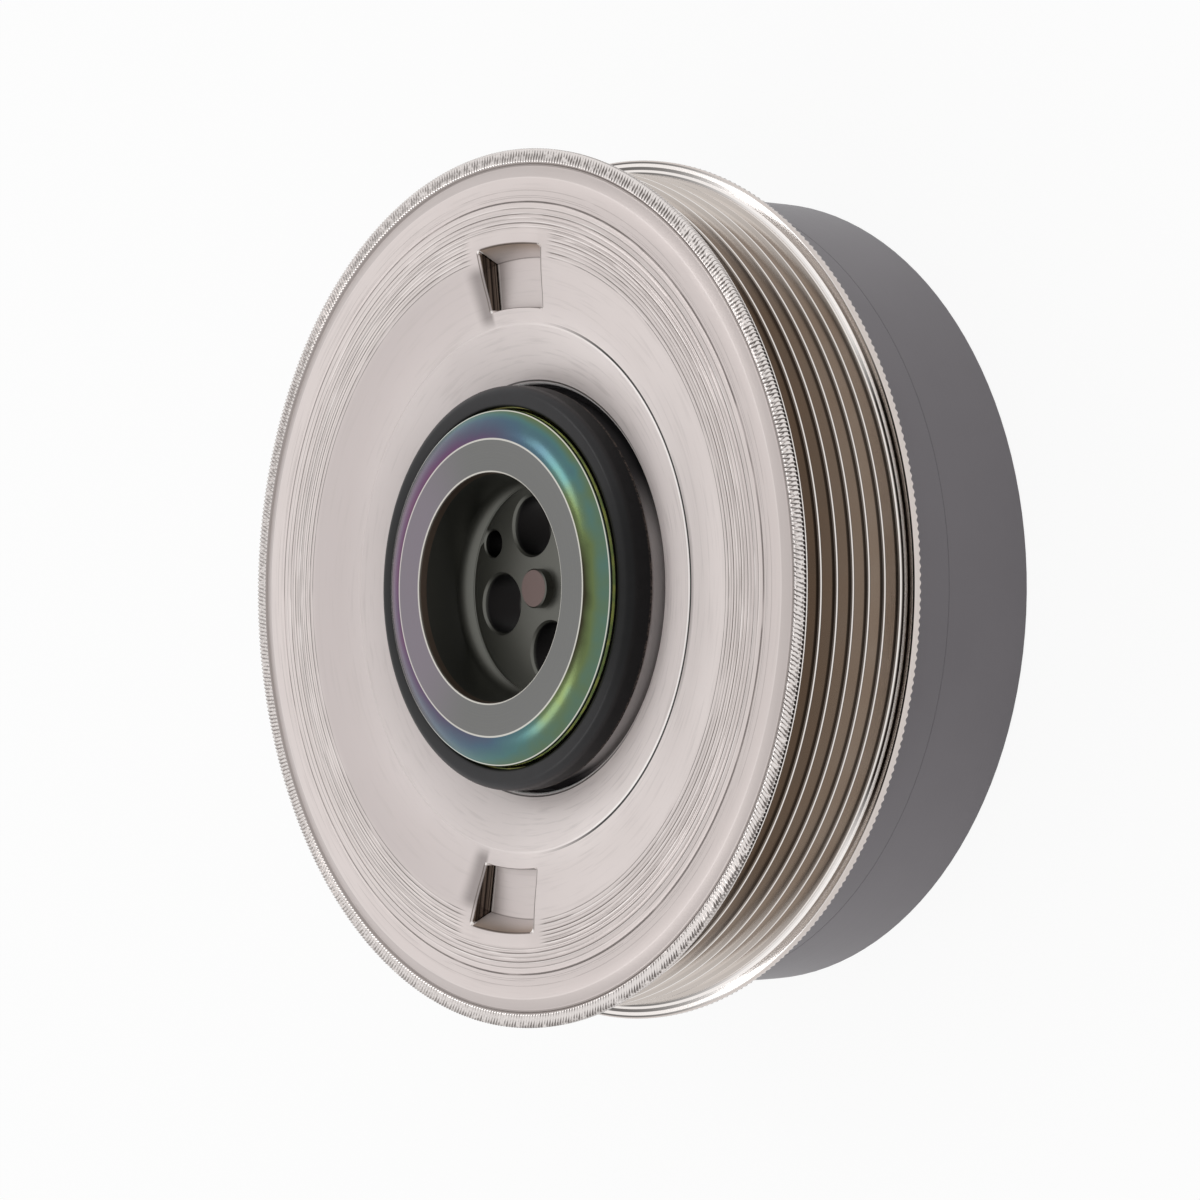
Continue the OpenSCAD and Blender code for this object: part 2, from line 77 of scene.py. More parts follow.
class Field:
    """A number that varies over a surface. Arithmetic on it adds Math nodes."""
    def __init__(self, nodes, socket):
        self.nodes = nodes
        self.socket = socket

    def maths(self, operation, *values):
        made = self.nodes.node("ShaderNodeMath", {"operation": operation},
                               dict(enumerate(values)))
        return Field(self.nodes, made.outputs[0])

    def __add__(self, other):
        return self.maths("ADD", self, other)

    def __radd__(self, other):
        return self.maths("ADD", other, self)

    def __sub__(self, other):
        return self.maths("SUBTRACT", self, other)

    def __rsub__(self, other):
        return self.maths("SUBTRACT", other, self)

    def __mul__(self, other):
        return self.maths("MULTIPLY", self, other)

    def __rmul__(self, other):
        return self.maths("MULTIPLY", other, self)

    def __truediv__(self, other):
        return self.maths("DIVIDE", self, other)

    def __pow__(self, other):
        return self.maths("POWER", self, other)

    def __abs__(self):
        return self.maths("ABSOLUTE", self)

    def fraction(self):
        return self.maths("FRACT", self)

    def larger(self, other):
        return self.maths("MAXIMUM", self, other)

    def wave(self):
        """From 1 at 0 to 0 at half a turn and back, for an angle in radians."""
        return self.maths("COSINE", self) * 0.5 + 0.5

    def between(self, low, high):
        """Rises smoothly from 0 at low to 1 at high."""
        made = self.nodes.node("ShaderNodeMapRange", {"interpolation_type": "SMOOTHSTEP"},
                               {"Value": self, "From Min": low, "From Max": high})
        return Field(self.nodes, made.outputs["Result"])

    def band(self, low, high, soft):
        """1 from low to high, and 0 beyond the soft edges."""
        return self.between(low - soft, low) * (1 - self.between(high, high + soft))

    def ramp(self, stops):
        """A colour for each value from 0 to 1."""
        return self.nodes.node("ShaderNodeValToRGB", {"stops": stops}, {"Fac": self}).outputs[0]


class Nodes:
    """The nodes of a material or of the world."""
    def __init__(self, owner):
        owner.use_nodes = True
        self.tree = owner.node_tree

    def put(self, socket, value):
        """Links a socket to a field or to another socket, or sets its value."""
        value = value.socket if isinstance(value, Field) else value
        if isinstance(value, bpy.types.NodeSocket):
            self.tree.links.new(value, socket)
        else:
            socket.default_value = value

    def node(self, kind, settings=None, inputs=None):
        """Any node: its settings first, then the values or links of its sockets."""
        made = self.tree.nodes.new(kind)
        for key, value in (settings or {}).items():
            if key == "stops":
                elements = made.color_ramp.elements
                while len(elements) < len(value):
                    elements.new(1)
                for element, (place, color) in zip(elements, value):
                    element.position = place
                    element.color = color
            else:
                setattr(made, key, value)
        for key, value in (inputs or {}).items():
            self.put(made.inputs[key], value)
        return made

    def field(self, socket):
        return Field(self, socket)

    def in_view(self):
        """1 on what the camera and the metal see, 0 on what lights the part."""
        rays = self.node("ShaderNodeLightPath")
        seen = self.field(rays.outputs["Is Camera Ray"])
        return seen.larger(rays.outputs["Is Glossy Ray"]).larger(rays.outputs["Is Transmission Ray"])


class Finish(Nodes):
    """One material, named after the real finish."""
    def __init__(self, name, **constants):
        self.material = bpy.data.materials.new(name)
        super().__init__(self.material)
        self.shader = self.tree.nodes["Principled BSDF"]
        for socket, value in constants.items():
            self.set(socket.replace("_", " ").title(), value)

    def set(self, socket, value):
        self.put(self.shader.inputs[socket], value)

    def places(self):
        """x, y and z on the object in millimetres."""
        coordinate = self.node("ShaderNodeTexCoord")
        split = self.node("ShaderNodeSeparateXYZ", None, {0: coordinate.outputs["Object"]})
        return [self.field(split.outputs[i]) / mm for i in range(3)]

    def noise(self, size, along=None):
        """Noise from 0 to 1 with lumps of about that size, in space or along one field."""
        if along is None:
            settings = {"noise_dimensions": "3D"}
            inputs = {"Vector": self.node("ShaderNodeTexCoord").outputs["Object"],
                      "Scale": 1 / (size * mm)}
        else:
            settings = {"noise_dimensions": "1D"}
            inputs = {"W": along, "Scale": 1 / size}
        return self.field(self.node("ShaderNodeTexNoise", settings, inputs).outputs[0])

    def mix(self, share, first, second):
        """A colour between two colours."""
        return self.node("ShaderNodeMix", {"data_type": "RGBA"},
                         {0: share, 6: first, 7: second}).outputs[2]

    def layers(self, color, *coats):
        """A colour under coats of (share, colour), the last on top."""
        for share, coat in coats:
            color = self.mix(share, color, coat)
        return color

    def bump(self, height):
        """Height in millimetres as a bump."""
        made = self.node("ShaderNodeBump", None, {"Height": height, "Distance": mm})
        self.set("Normal", made.outputs["Normal"])


bpy.ops.object.select_all(action="DESELECT")
bpy.ops.mesh.primitive_circle_add(vertices=96, radius=floor_r * mm, fill_type="NGON",
                                  location=(0, 0, -floor_gap * mm))
floor = bpy.context.object
floor.name = "floor"
pale = Finish("floor_white", base_color=floor_gray, roughness=0.9)
glow = pale.node("ShaderNodeEmission", None, {"Color": white, "Strength": 1.0})
pale_mix = pale.node("ShaderNodeMixShader", None, {0: pale.in_view() * floor_whiteness,
                                                   1: pale.shader.outputs[0],
                                                   2: glow.outputs[0]})
pale.put(pale.tree.nodes["Material Output"].inputs["Surface"], pale_mix.outputs[0])
floor.data.materials.append(pale.material)

world = bpy.data.worlds.new("studio")
bpy.context.scene.world = world
air = Nodes(world)
room = air.tree.nodes["Background"]
air.put(room.inputs["Color"], room_gray)
air.put(room.inputs["Strength"], 1.0)
backdrop = air.node("ShaderNodeBackground", None, {"Color": white, "Strength": 1.0})
air_mix = air.node("ShaderNodeMixShader", None, {0: air.in_view(), 1: room.outputs[0],
                                                 2: backdrop.outputs[0]})
air.put(air.tree.nodes["World Output"].inputs["Surface"], air_mix.outputs[0])


def soft_light(name, place, width, height, power, in_gloss):
    """A soft box that faces the part, sized in metres, with its power in watts."""
    lamp = bpy.data.lights.new(name, "AREA")
    lamp.shape = "RECTANGLE"
    lamp.size = width
    lamp.size_y = height
    lamp.energy = power
    box = bpy.data.objects.new(name, lamp)
    bpy.context.scene.collection.objects.link(box)
    box.visible_glossy = in_gloss
    box.location = place
    aim = Vector((0, 0, rim_z * mm)) - Vector(place)
    box.rotation_euler = aim.to_track_quat("-Z", "Y").to_euler()


soft_light("key_light", (-0.9, 0.0, 1.3), 1.4, 1.2, 2.6, False)
soft_light("upper_side_light", (0.3, 1.4, 0.25), 1.1, 0.8, 5.5, False)
soft_light("lower_side_light", (0.3, -1.4, 0.25), 1.1, 0.8, 5.5, False)
soft_light("upper_strip", (-0.75, 0.50, 1.25), 0.3, 0.5, 1.1, True)
soft_light("lower_strip", (-0.75, -0.50, 1.25), 0.3, 0.5, 1.1, True)

camera_data = bpy.data.cameras.new("camera")
camera = bpy.data.objects.new("camera", camera_data)
bpy.context.scene.collection.objects.link(camera)
bpy.context.scene.camera = camera
camera_data.sensor_width = sensor_w
camera_data.lens = focal_px / picture_px * sensor_w
camera_data.clip_start = 0.01
right = Vector((cos(view_roll) * cos(view_turn), sin(view_roll),
                -cos(view_roll) * sin(view_turn)))
back = Vector((sin(view_turn), 0, cos(view_turn)))
up = back.cross(right)
place = Vector((0, 0, rim_z)) + view_right * right - view_down * up + view_distance * back
axes = Matrix((right, up, back)).transposed().to_4x4()
camera.matrix_world = Matrix.Translation(place * mm) @ axes
bpy.context.scene.view_settings.view_transform = "Standard"

# The belt pulley: one disc of sheet steel, pressed and flow formed into a dished face with two
# stop pockets and a drum with six belt grooves, then plated in satin nickel. Outlines are lists
# of points (radius, depth behind the front rim), turned round the axis as on a lathe.
rib_tip_r = 74.15
rib_pitch = 3.56
groove_count = 6
groove_depth = 3.2
groove_half_angle = radians(20)
groove_root_r = 0.4
first_groove = 4.67
rib_bevel = 0.12
drum_end = rim_z - pulley_low.z / mm
sheet_t = 2.3
drum_bore_r = 68.65
drum_bore_bevel = 0.6
drum_bend_r = 2
band_in_r = 74.4
seam_depth = 0.55
bevel_out_r = 73.6
bevel_in_r = 71.75
flat_row_r = 69.5
deep_line_r = 67.5
deep_line_section = [(0.3, 0), (0.18, 0.04), (0, 0.2), (-0.18, 0.04), (-0.3, 0)]
dish_r = 59.4
dish_depth = 5.9
dish_power = 1.37
hole_r = 36.7
lip_r = 0.8
lip_in_r = 35.95
step_r = 46.3
step_h = 0.3
step_lead = 0.4
step_drop = 0.1
step_rows = (45.0, 43.5, 42.0, 40.5, 39.2, 38.3)
turned_lines = [(65.1, 0.08), (63.6, 0.05)]
line_half_w = 0.16
fine_lines = [(66.3, 0.5), (65.3, 0.9), (64.5, 0.4), (63.8, 0.8), (63.0, 0.5), (62.3, 1.0),
              (61.7, 0.5), (61.1, 0.8), (60.4, 0.9), (59.8, 0.4), (59.1, 0.9), (58.3, 0.5)]
body_steps = 480
front_teeth = 640
front_tooth_h = 0.26
front_knurl_depth = 0.4
rear_teeth = 350
rear_tooth_h = 0.24
rear_knurl_depth = 0.55
rear_knurl_in_r = 76.4
pocket_in_r = 49.3
pocket_out_r = 58.1
pocket_mouth_r = 60.3
pocket_rows = (56.0, 53.7, 51.5)
below_pocket_r = 47.8
pocket_depth = 4.2
pocket_half_angle = 8.25
pocket_edge = 0.4
pocket_sink = 0.35
pocket_sink_reach = 4.5
pocket_back_in_r = 47.7
pocket_back_out_r = 61.4
pocket_back_depth = 5.8
pocket_back_half_angle = 9.8
press_start = 0.5
turned_weld = 0.002
pocket_weld = 0.02


def arc(centre, radius, start, end, steps):
    """Points of an arc, from one angle to the other in degrees."""
    angles = [radians(start + (end - start) * i / steps) for i in range(steps + 1)]
    return [(centre[0] + radius * cos(a), centre[1] + radius * sin(a)) for a in angles]


def take(*pieces):
    """Selects these pieces and nothing else, with the first one active."""
    bpy.ops.object.select_all(action="DESELECT")
    for piece in pieces:
        piece.select_set(True)
    bpy.context.view_layer.objects.active = pieces[0]


def pick(test, kind="VERT"):
    """Selects what passes the test in edit mode, and nothing else."""
    mesh = bpy.context.object.data
    bpy.ops.mesh.select_mode(type=kind)
    bpy.ops.mesh.select_all(action="DESELECT")
    bpy.ops.object.mode_set(mode="OBJECT")
    items = {"VERT": mesh.vertices, "EDGE": mesh.edges, "FACE": mesh.polygons}[kind]
    for item in items:
        item.select = test(item)
    bpy.ops.object.mode_set(mode="EDIT")


def turn(name, outline, steps, closed=True):
    """A turned solid, from an outline drawn point by point and spun once round the axis."""
    bpy.ops.object.select_all(action="DESELECT")
    bpy.ops.mesh.primitive_plane_add(size=mm)
    piece = bpy.context.object
    piece.name = piece.data.name = name
    bpy.ops.object.mode_set(mode="EDIT")
    bpy.ops.mesh.select_mode(type="VERT")
    bpy.ops.mesh.merge(type="CENTER")
    points = [Vector((r, 0, rim_z - depth)) * mm for r, depth in outline]
    bpy.ops.transform.translate(value=points[0])
    for before, after in zip(points, points[1:] + points[:1] * closed):
        bpy.ops.mesh.extrude_region_move(TRANSFORM_OT_translate={"value": after - before})
    bpy.ops.mesh.select_all(action="SELECT")
    bpy.ops.mesh.spin(steps=steps, angle=2 * pi, center=(0, 0, 0), axis=(0, 0, 1))
    bpy.ops.mesh.select_all(action="SELECT")
    bpy.ops.mesh.remove_doubles(threshold=turned_weld * mm)
    bpy.ops.mesh.normals_make_consistent(inside=False)
    bpy.ops.object.mode_set(mode="OBJECT")
    return piece


def smooth(piece, sharpest=32):
    """Smooth shading with edges kept crisp above an angle in degrees."""
    take(piece)
    bpy.ops.object.shade_smooth_by_angle(angle=radians(sharpest))


def dish(r):
    """Depth of the dished face at a radius."""
    return 0 if r >= dish_r else dish_depth * ((dish_r - r) / (dish_r - hole_r)) ** dish_power


def groove(middle):
    """One belt groove, from its front edge to its back edge."""
    rise = groove_depth - groove_root_r * (1 - sin(groove_half_angle))
    half = groove_root_r * cos(groove_half_angle) + rise * tan(groove_half_angle)
    turn_in = degrees(groove_half_angle)
    low = rib_bevel * tan(groove_half_angle)
    return [(rib_tip_r, middle - half - rib_bevel), (rib_tip_r - rib_bevel, middle - half + low),
            *arc((rib_tip_r - groove_depth + groove_root_r, middle), groove_root_r,
                 270 - turn_in, 90 + turn_in, 5),
            (rib_tip_r - rib_bevel, middle + half - low), (rib_tip_r, middle + half + rib_bevel)]


def turned_line(r, depth):
    """A shallow turned line across the face, read inwards."""
    return [(r + line_half_w, dish(r + line_half_w)), (r, dish(r) + depth),
            (r - line_half_w, dish(r - line_half_w))]


# The face from the rim inwards: its flat band, lines, dished part, low step and turned-in lip
face = [(bevel_in_r + 0.15, 0.06), (bevel_in_r - 0.1, 0), (flat_row_r, 0)]
face += [(deep_line_r + off, depth) for off, depth in deep_line_section]
for line_r, line_depth in turned_lines:
    face += turned_line(line_r, line_depth)
face += [(r, dish(r)) for r in (pocket_mouth_r, dish_r, pocket_out_r, *pocket_rows,
                                pocket_in_r, below_pocket_r, step_r + step_lead)]
face += [(r, dish(r) - step_h * (r - hole_r) / (step_r - hole_r))
         for r in (step_r - step_drop, *step_rows)]
face += arc((lip_in_r + lip_r, dish_depth + lip_r), lip_r, 270, 180, 6)
# Then the back of the sheet outwards, the bore of the drum and the outside back to the rim
under = [(lip_in_r, dish_depth + sheet_t)]
under += [(r, dish(r) + sheet_t) for r in (hole_r, 38.5, 41, 44, pocket_back_in_r, 50, 53, 56,
                                           dish_r, pocket_back_out_r)]
under += arc((drum_bore_r - drum_bend_r, sheet_t + drum_bend_r), drum_bend_r, 270, 360, 5)
under += [(drum_bore_r, drum_end - drum_bore_bevel), (drum_bore_r + drum_bore_bevel, drum_end)]
rear = [(75.15, drum_end), (75.7, drum_end - 0.35), (75.9, drum_end - 1.5),
        (75.0, drum_end - 1.76), (74.3, drum_end - 2.1)]
drum = [p for i in range(groove_count - 1, -1, -1)
        for p in reversed(groove(first_groove + i * rib_pitch))]
front = [(rib_tip_r + 0.1, 2.9), (75.5, 2.02), (75.9, 1.1), (75.9, 0.7), (74.1, 0.72)]
seam = [(74.0, seam_depth), (bevel_out_r, seam_depth), (bevel_out_r - 0.15, seam_depth - 0.08)]
pulley = turn("belt_pulley", under + rear + drum + front + seam + face, body_steps)


def off_pocket(point):
    """Angle in degrees from the middle of the nearer pocket."""
    return degrees(asin(min(1, abs(point.x) / max(hypot(point.x, point.y), 1e-9))))


def radius(point):
    return hypot(point.x, point.y) / mm


def depth(point):
    return rim_z - point.z / mm


def near(value, target, reach=0.03):
    return abs(value - target) < reach


def at_side(point):
    """On the line of a pocket's left or right wall."""
    return near(off_pocket(point), pocket_half_angle, 0.1)


def pocket_side(v):
    return (at_side(v.co) and pocket_in_r + 1 < radius(v.co) < pocket_out_r + 0.5
            and depth(v.co) < dish(radius(v.co)) + 1)


def pocket_face(p):
    return (off_pocket(p.center) < pocket_half_angle and depth(p.center) < 4
            and pocket_in_r < radius(p.center) < pocket_mouth_r and p.normal.z > 0.5)


def pocket_back_face(p):
    return (off_pocket(p.center) < pocket_back_half_angle and depth(p.center) > 2
            and pocket_back_in_r < radius(p.center) < pocket_back_out_r and p.normal.z < -0.5)


def pocket_lip(e):
    """An edge of a pocket's mouth, at its sides or its inner end."""
    a, b = (pulley.data.vertices[i].co for i in e.vertices)
    on_side = all(at_side(v) for v in (a, b))
    on_side = on_side and pocket_in_r - 0.1 < min(radius(a), radius(b))
    on_side = on_side and max(radius(a), radius(b)) < pocket_mouth_r + 0.1
    inner = all(near(radius(v), pocket_in_r) and off_pocket(v) < pocket_half_angle + 0.1
                for v in (a, b))
    at_face = all(depth(v) < 3.2 for v in (a, b))
    return (on_side or inner) and at_face and abs(a.z - b.z) < 1.6 * mm


def press(faces, level):
    """Presses faces back and lays them flat at a depth."""
    pick(faces, "FACE")
    bpy.ops.mesh.extrude_region_move(TRANSFORM_OT_translate={"value": (0, 0, -press_start * mm)})
    bpy.ops.transform.resize(value=(1, 1, 0), center_override=(0, 0, (rim_z - level) * mm))


# The press draws the metal in beside each pocket before it forms the pocket itself
bpy.ops.object.mode_set(mode="EDIT")
pick(pocket_side)
bpy.ops.transform.translate(value=(0, 0, -pocket_sink * mm), use_proportional_edit=True,
                            use_proportional_connected=True, proportional_edit_falloff="SMOOTH",
                            proportional_size=pocket_sink_reach * mm)
for side in (1, -1):
    press(lambda p: pocket_face(p) and p.center.y * side > 0, pocket_depth)
    press(lambda p: pocket_back_face(p) and p.center.y * side > 0, pocket_back_depth)
# The pocket's outer end slopes up to the face
slope = pocket_depth / (pocket_mouth_r - pocket_out_r)
for ring_r in (dish_r, pocket_mouth_r):
    pick(lambda v: near(radius(v.co), ring_r) and near(depth(v.co), pocket_depth)
         and off_pocket(v.co) < pocket_half_angle + 0.1)
    bpy.ops.transform.translate(value=(0, 0, slope * (ring_r - pocket_out_r) * mm))
bpy.ops.mesh.select_all(action="SELECT")
bpy.ops.mesh.remove_doubles(threshold=pocket_weld * mm)
pick(pocket_lip, "EDGE")
bpy.ops.mesh.bevel(offset=pocket_edge * mm, segments=3, affect="EDGES")
bpy.ops.mesh.select_all(action="SELECT")
bpy.ops.mesh.normals_make_consistent(inside=False)
bpy.ops.object.mode_set(mode="OBJECT")

# The knurled edges are rings of their own, set in the rim and in the rear flange
front_rim = [(74.05, 0.6), (74.3, 0.36), (band_in_r + 0.1, 0.28), (74.9, 0.24), (75.5, 0.16),
             (76.1, 0.08), (76.45, 0.03), (76.66, 0.12), (flange_r, 0.34), (flange_r, 1.05),
             (76.55, 1.34), (75.6, 1.98), (75.3, 1.4)]
front_ring = turn("front_rim", front_rim, 2 * front_teeth)
rear_rim = [(75.05, drum_end - 1.0), (75.0, drum_end - 1.765), (76.3, drum_end - 1.6),
            (76.66, drum_end - 1.52), (flange_r, drum_end - 1.4), (flange_r, drum_end - 0.5),
            (76.68, drum_end - 0.2), (76.45, drum_end), (75.15, drum_end)]
rear_ring = turn("rear_rim", rear_rim, 2 * rear_teeth)


def odd_spoke(point, spokes):
    return round(atan2(point.y, point.x) / (2 * pi) * spokes) % 2 == 1


def front_knurl(point):
    return depth(point) < front_knurl_depth and radius(point) > band_in_r


def rear_knurl(point):
    return depth(point) > drum_end - rear_knurl_depth and radius(point) > rear_knurl_in_r


for ring, teeth, tooth_h, rolled, way in (
        (front_ring, front_teeth, front_tooth_h, front_knurl, -1),
        (rear_ring, rear_teeth, rear_tooth_h, rear_knurl, 1)):
    take(ring)
    bpy.ops.object.mode_set(mode="EDIT")
    pick(lambda v: rolled(v.co) and odd_spoke(v.co, 2 * teeth))
    shrink = 1 - tooth_h / 2 / flange_r
    bpy.ops.transform.resize(value=(shrink, shrink, 1), center_override=(0, 0, 0))
    bpy.ops.transform.translate(value=(0, 0, way * tooth_h * mm))
    bpy.ops.object.mode_set(mode="OBJECT")
    smooth(ring, 50)
smooth(pulley)
take(pulley, front_ring, rear_ring)
bpy.ops.object.join()

nickel = Finish("satin_nickel_plate")
x, y, z = nickel.places()
r = (x * x + y * y) ** 0.5
behind = rim_z - z
around = y.maths("ARCTAN2", y, x)
aside = abs(x) / r
upright = abs(y) / r
rightward = x / r
to_right = rightward.between(-0.8, 0.7)
line_soft = 0.06
front_reach = 6.5
lines_end_angle = 9.6
lines_full_angle = 12.5
knurl_lean = 2.4
# A pale tone for painted highlights and glints, and a dark tone for painted shade in lines and
# creases
painted_highlight = srgb(246, 241, 238)
shade = srgb(96, 86, 80)

# Where the pulley's parts lie
pocket_sine = sin(radians(pocket_half_angle))
on_front = 1 - behind.between(front_reach, front_reach + 0.5)
at_rim = 1 - behind.between(0.8, 1.0)
drum = r.between(drum_bore_r + 0.3, drum_bore_r + 0.6) * behind.between(1.6, 2.2)
rim = r.between(band_in_r - 0.1, band_in_r)
beside = (1 - aside.between(pocket_sine, pocket_sine + 0.002)) * on_front
in_pocket = beside * r.band(pocket_in_r - 0.1, pocket_mouth_r, 0.1)
wall = aside.between(pocket_sine - 0.006, pocket_sine - 0.001) * in_pocket
polished = drum.larger(rim).larger(wall)
dished = 1 - r.between(57.0, 60.5)
near_nose = 1 - r.between(44.0, 52.0)

# Marks of the lathe: broken arcs, the deep line with painted shade in it, and fine lines that end
# short of a pocket.
# Each fine line is bumped in and painted with shade along it and a highlight beside it; dark
# scratches lie among them.
cloud = nickel.noise(14.0)
grain = nickel.noise(0.5)
turned_marks = nickel.noise(0.09, along=r)
along_turn = nickel.node("ShaderNodeCombineXYZ", None,
                         {0: rightward * 5, 1: y / r * 5, 2: r * 1.6}).outputs[0]
arcs = nickel.field(nickel.node("ShaderNodeTexNoise", None,
                                {"Vector": along_turn, "Scale": 1.0}).outputs[0])
broken = arcs.between(0.36, 0.5)
apart = aside.between(sin(radians(lines_end_angle)), sin(radians(lines_full_angle)))
apart = apart.larger(r.between(62.6, 63.2))
shown = apart * on_front * (1 - polished)
cut_shade = sum(r.band(line_r - 0.07, line_r + 0.07, line_soft) * strength
               for line_r, strength in fine_lines)
cut_highlight = sum(r.band(line_r + 0.16, line_r + 0.26, line_soft) * strength
                for line_r, strength in fine_lines)
scratch = nickel.noise(0.3, along=r).between(0.6, 0.66) * r.band(58.0, 69.0, 1.0)
cut_shade = (cut_shade * (broken * 0.6 + 0.4) + scratch * broken * 0.5) * shown
cut_highlight = cut_highlight * (1 - broken * 0.5) * shown
deep_line_shade = r.band(deep_line_r - 0.14, deep_line_r + 0.1, line_soft) * on_front * (1 - polished)

# Painted shade in the knurls' valleys, lying slantwise and broken up by noise, and dark speckle on
# the front knurl, stronger on its left
uneven = nickel.noise(1.3).between(0.3, 0.55)
speckle = nickel.noise(0.32).between(0.42, 0.62) * rim * (1 - behind.between(0.35, 0.5))
front_valley_shade = (1 - (around * front_teeth + r * knurl_lean).wave()).between(0.45, 0.9) * uneven
front_valley_shade = front_valley_shade * rim * (1 - behind.between(0.35, 0.6))
rear_valley_shade = (1 - (around * rear_teeth).wave()).between(0.4, 0.9)
rear_valley_shade = rear_valley_shade * r.between(76.3, 76.5) * behind.between(drum_end - 0.6, drum_end - 0.4)

# The seam and the slope inside the rim, the low step and the edge of the opening, with painted shade
# and highlight lines
seam = r.band(73.75, 74.25, 0.1) * (1 - behind.between(0.6, 0.8))
rim_slope_shade = r.band(bevel_in_r + 0.1, bevel_out_r, 0.15) * at_rim
slope_edge_highlight = r.band(bevel_in_r - 0.15, bevel_in_r + 0.05, 0.08) * at_rim
step_highlight = r.band(step_r - 0.02, step_r + 0.2, line_soft) * on_front
step_shadow_line = r.band(step_r + 0.28, step_r + 0.6, 0.08) * on_front
step_shade = r.band(step_r + 0.5, step_r + 0.9, 1.0) * rightward.between(0.85, 1.0) * on_front
hole_lip_highlight = (1 - r.between(lip_in_r + 0.36, lip_in_r + 0.46)) * (1 - behind.between(7.0, 7.4))
hole_lip_highlight = hole_lip_highlight * (upright.between(0.5, 0.85) * 0.75 + 0.25)
hole_edge_shade = r.band(lip_in_r + 0.56, lip_in_r + 0.78, line_soft) * on_front
hole_edge_shade = hole_edge_shade * upright.between(0.5, 0.85)

# The pockets: painted shade in the creases at their ends, painted highlights on the lips, folds and
# corners,
# walls painted dark as shade with streaks, and a painted shadow on the left shoulder
pocket_crease_shade = r.band(pocket_in_r - 0.12, pocket_in_r + 0.06, line_soft)
pocket_crease_shade = pocket_crease_shade.larger(r.band(pocket_mouth_r - 0.1, pocket_mouth_r + 0.1, 0.1))
pocket_crease_shade = pocket_crease_shade.larger(r.band(pocket_out_r - 0.12, pocket_out_r + 0.02, line_soft) * 0.7)
pocket_crease_shade = pocket_crease_shade * beside
pocket_slope = r.between(pocket_out_r, pocket_mouth_r) * in_pocket
beside_wall = r.band(pocket_in_r + 0.3, pocket_mouth_r - 0.6, 0.4) * on_front
lip_shade_line = aside.band(pocket_sine + 0.006, pocket_sine + 0.009, 0.0015) * beside_wall
lip_highlight = aside.band(pocket_sine, pocket_sine + 0.004, 0.001) * beside_wall
lip_highlight = lip_highlight * rightward.between(0.0, 0.02)
shoulder_shadow = aside.band(pocket_sine + 0.004, pocket_sine + 0.026, 0.066)
shoulder_shadow = shoulder_shadow * aside.between(pocket_sine - 0.014, pocket_sine + 0.008)
shoulder_shadow = shoulder_shadow * (1 - rightward.between(-0.02, 0.02))
shoulder_shadow = shoulder_shadow * r.band(pocket_in_r - 0.6, pocket_mouth_r - 4.5, 2.6) * on_front
fold_highlight = aside.band(pocket_sine - 0.0115, pocket_sine - 0.008, 0.0012) * in_pocket
fold_highlight = fold_highlight * (1 - r.between(pocket_out_r - 0.3, pocket_out_r))
corner_glint = r.band(pocket_mouth_r - 0.45, pocket_mouth_r, 0.2)
corner_glint = corner_glint.larger(r.band(pocket_in_r - 0.1, pocket_in_r + 0.25, 0.15))
corner_glint = corner_glint * aside.band(pocket_sine - 0.007, pocket_sine + 0.004, 0.003) * on_front
streaks = nickel.noise(0.5, along=behind).between(0.38, 0.62)
slope_color = nickel.mix(r.between(pocket_out_r, pocket_mouth_r),
                         srgb(226, 212, 202), srgb(170, 146, 126))

# Painted lighter on the left and darker on the right, the dish the other way round, with painted
# light near the nose that is strongest on the right: all stand in for how the light falls
face_color = nickel.layers(
    nickel.mix(to_right, srgb(222, 212, 209), srgb(205, 195, 192)),
    (dished, nickel.mix(to_right, srgb(200, 190, 188), srgb(225, 215, 212))),
    (near_nose * (rightward.between(-0.5, 0.6) * 0.65 + 0.35), srgb(244, 234, 231)),
    (cloud * 0.25, srgb(190, 180, 177)),
    (arcs.between(0.5, 0.75) * 0.35, srgb(190, 181, 178)),
    (rim_slope_shade * 0.6, srgb(184, 175, 172)),
    (shoulder_shadow * 0.72, srgb(122, 113, 111)),
    (pocket_slope * 0.8, slope_color),
    (rim, srgb(224, 218, 215)))

# The drum: painted highlights on the rib tips over flanks painted dark as shade, and the rounded
# flange behind the last rib
groove_place = (behind - first_groove) / rib_pitch
from_tip = abs(groove_place.fraction() - 0.5) * rib_pitch
rib_tip_highlight = r.between(rib_tip_r - 0.3, rib_tip_r - 0.2) * (1 - from_tip.between(0.1, 0.17))
tip_shade = r.between(rib_tip_r - 0.7, rib_tip_r - 0.5) * from_tip.between(0.1, 0.17)
last_tip = first_groove + (groove_count - 0.5) * rib_pitch
flange_outward = 0.64
flange_backward = 0.77
flange_ring_start = 0.88
flange_ring_pitch = 0.85
up_flange = (r - rib_tip_r) * flange_outward + (behind - last_tip) * flange_backward
on_flange = behind.between(last_tip + 0.1, last_tip + 0.2)
behind_ribs = up_flange.between(0.18, 0.25) * on_flange
rear_face = up_flange.between(2.15, 2.25) * on_flange
# Bands of painted reflection on the rounded flange, and a painted highlight on it at about 40 to 60
# degrees up and down
flange_reflection_bands = (up_flange - flange_ring_start) * (2 * pi / flange_ring_pitch)
flange_reflection_bands = flange_reflection_bands.wave().between(0.35, 0.6)
flange_reflection_color = nickel.layers(nickel.mix(flange_reflection_bands, srgb(48, 42, 38), srgb(236, 230, 226)),
                           (upright.band(0.6, 0.85, 0.2) * 0.85, painted_highlight))
rim_back_shade = r.between(rib_tip_r + 0.1, rib_tip_r + 0.2) * behind.band(1.35, 3.0, 0.1)
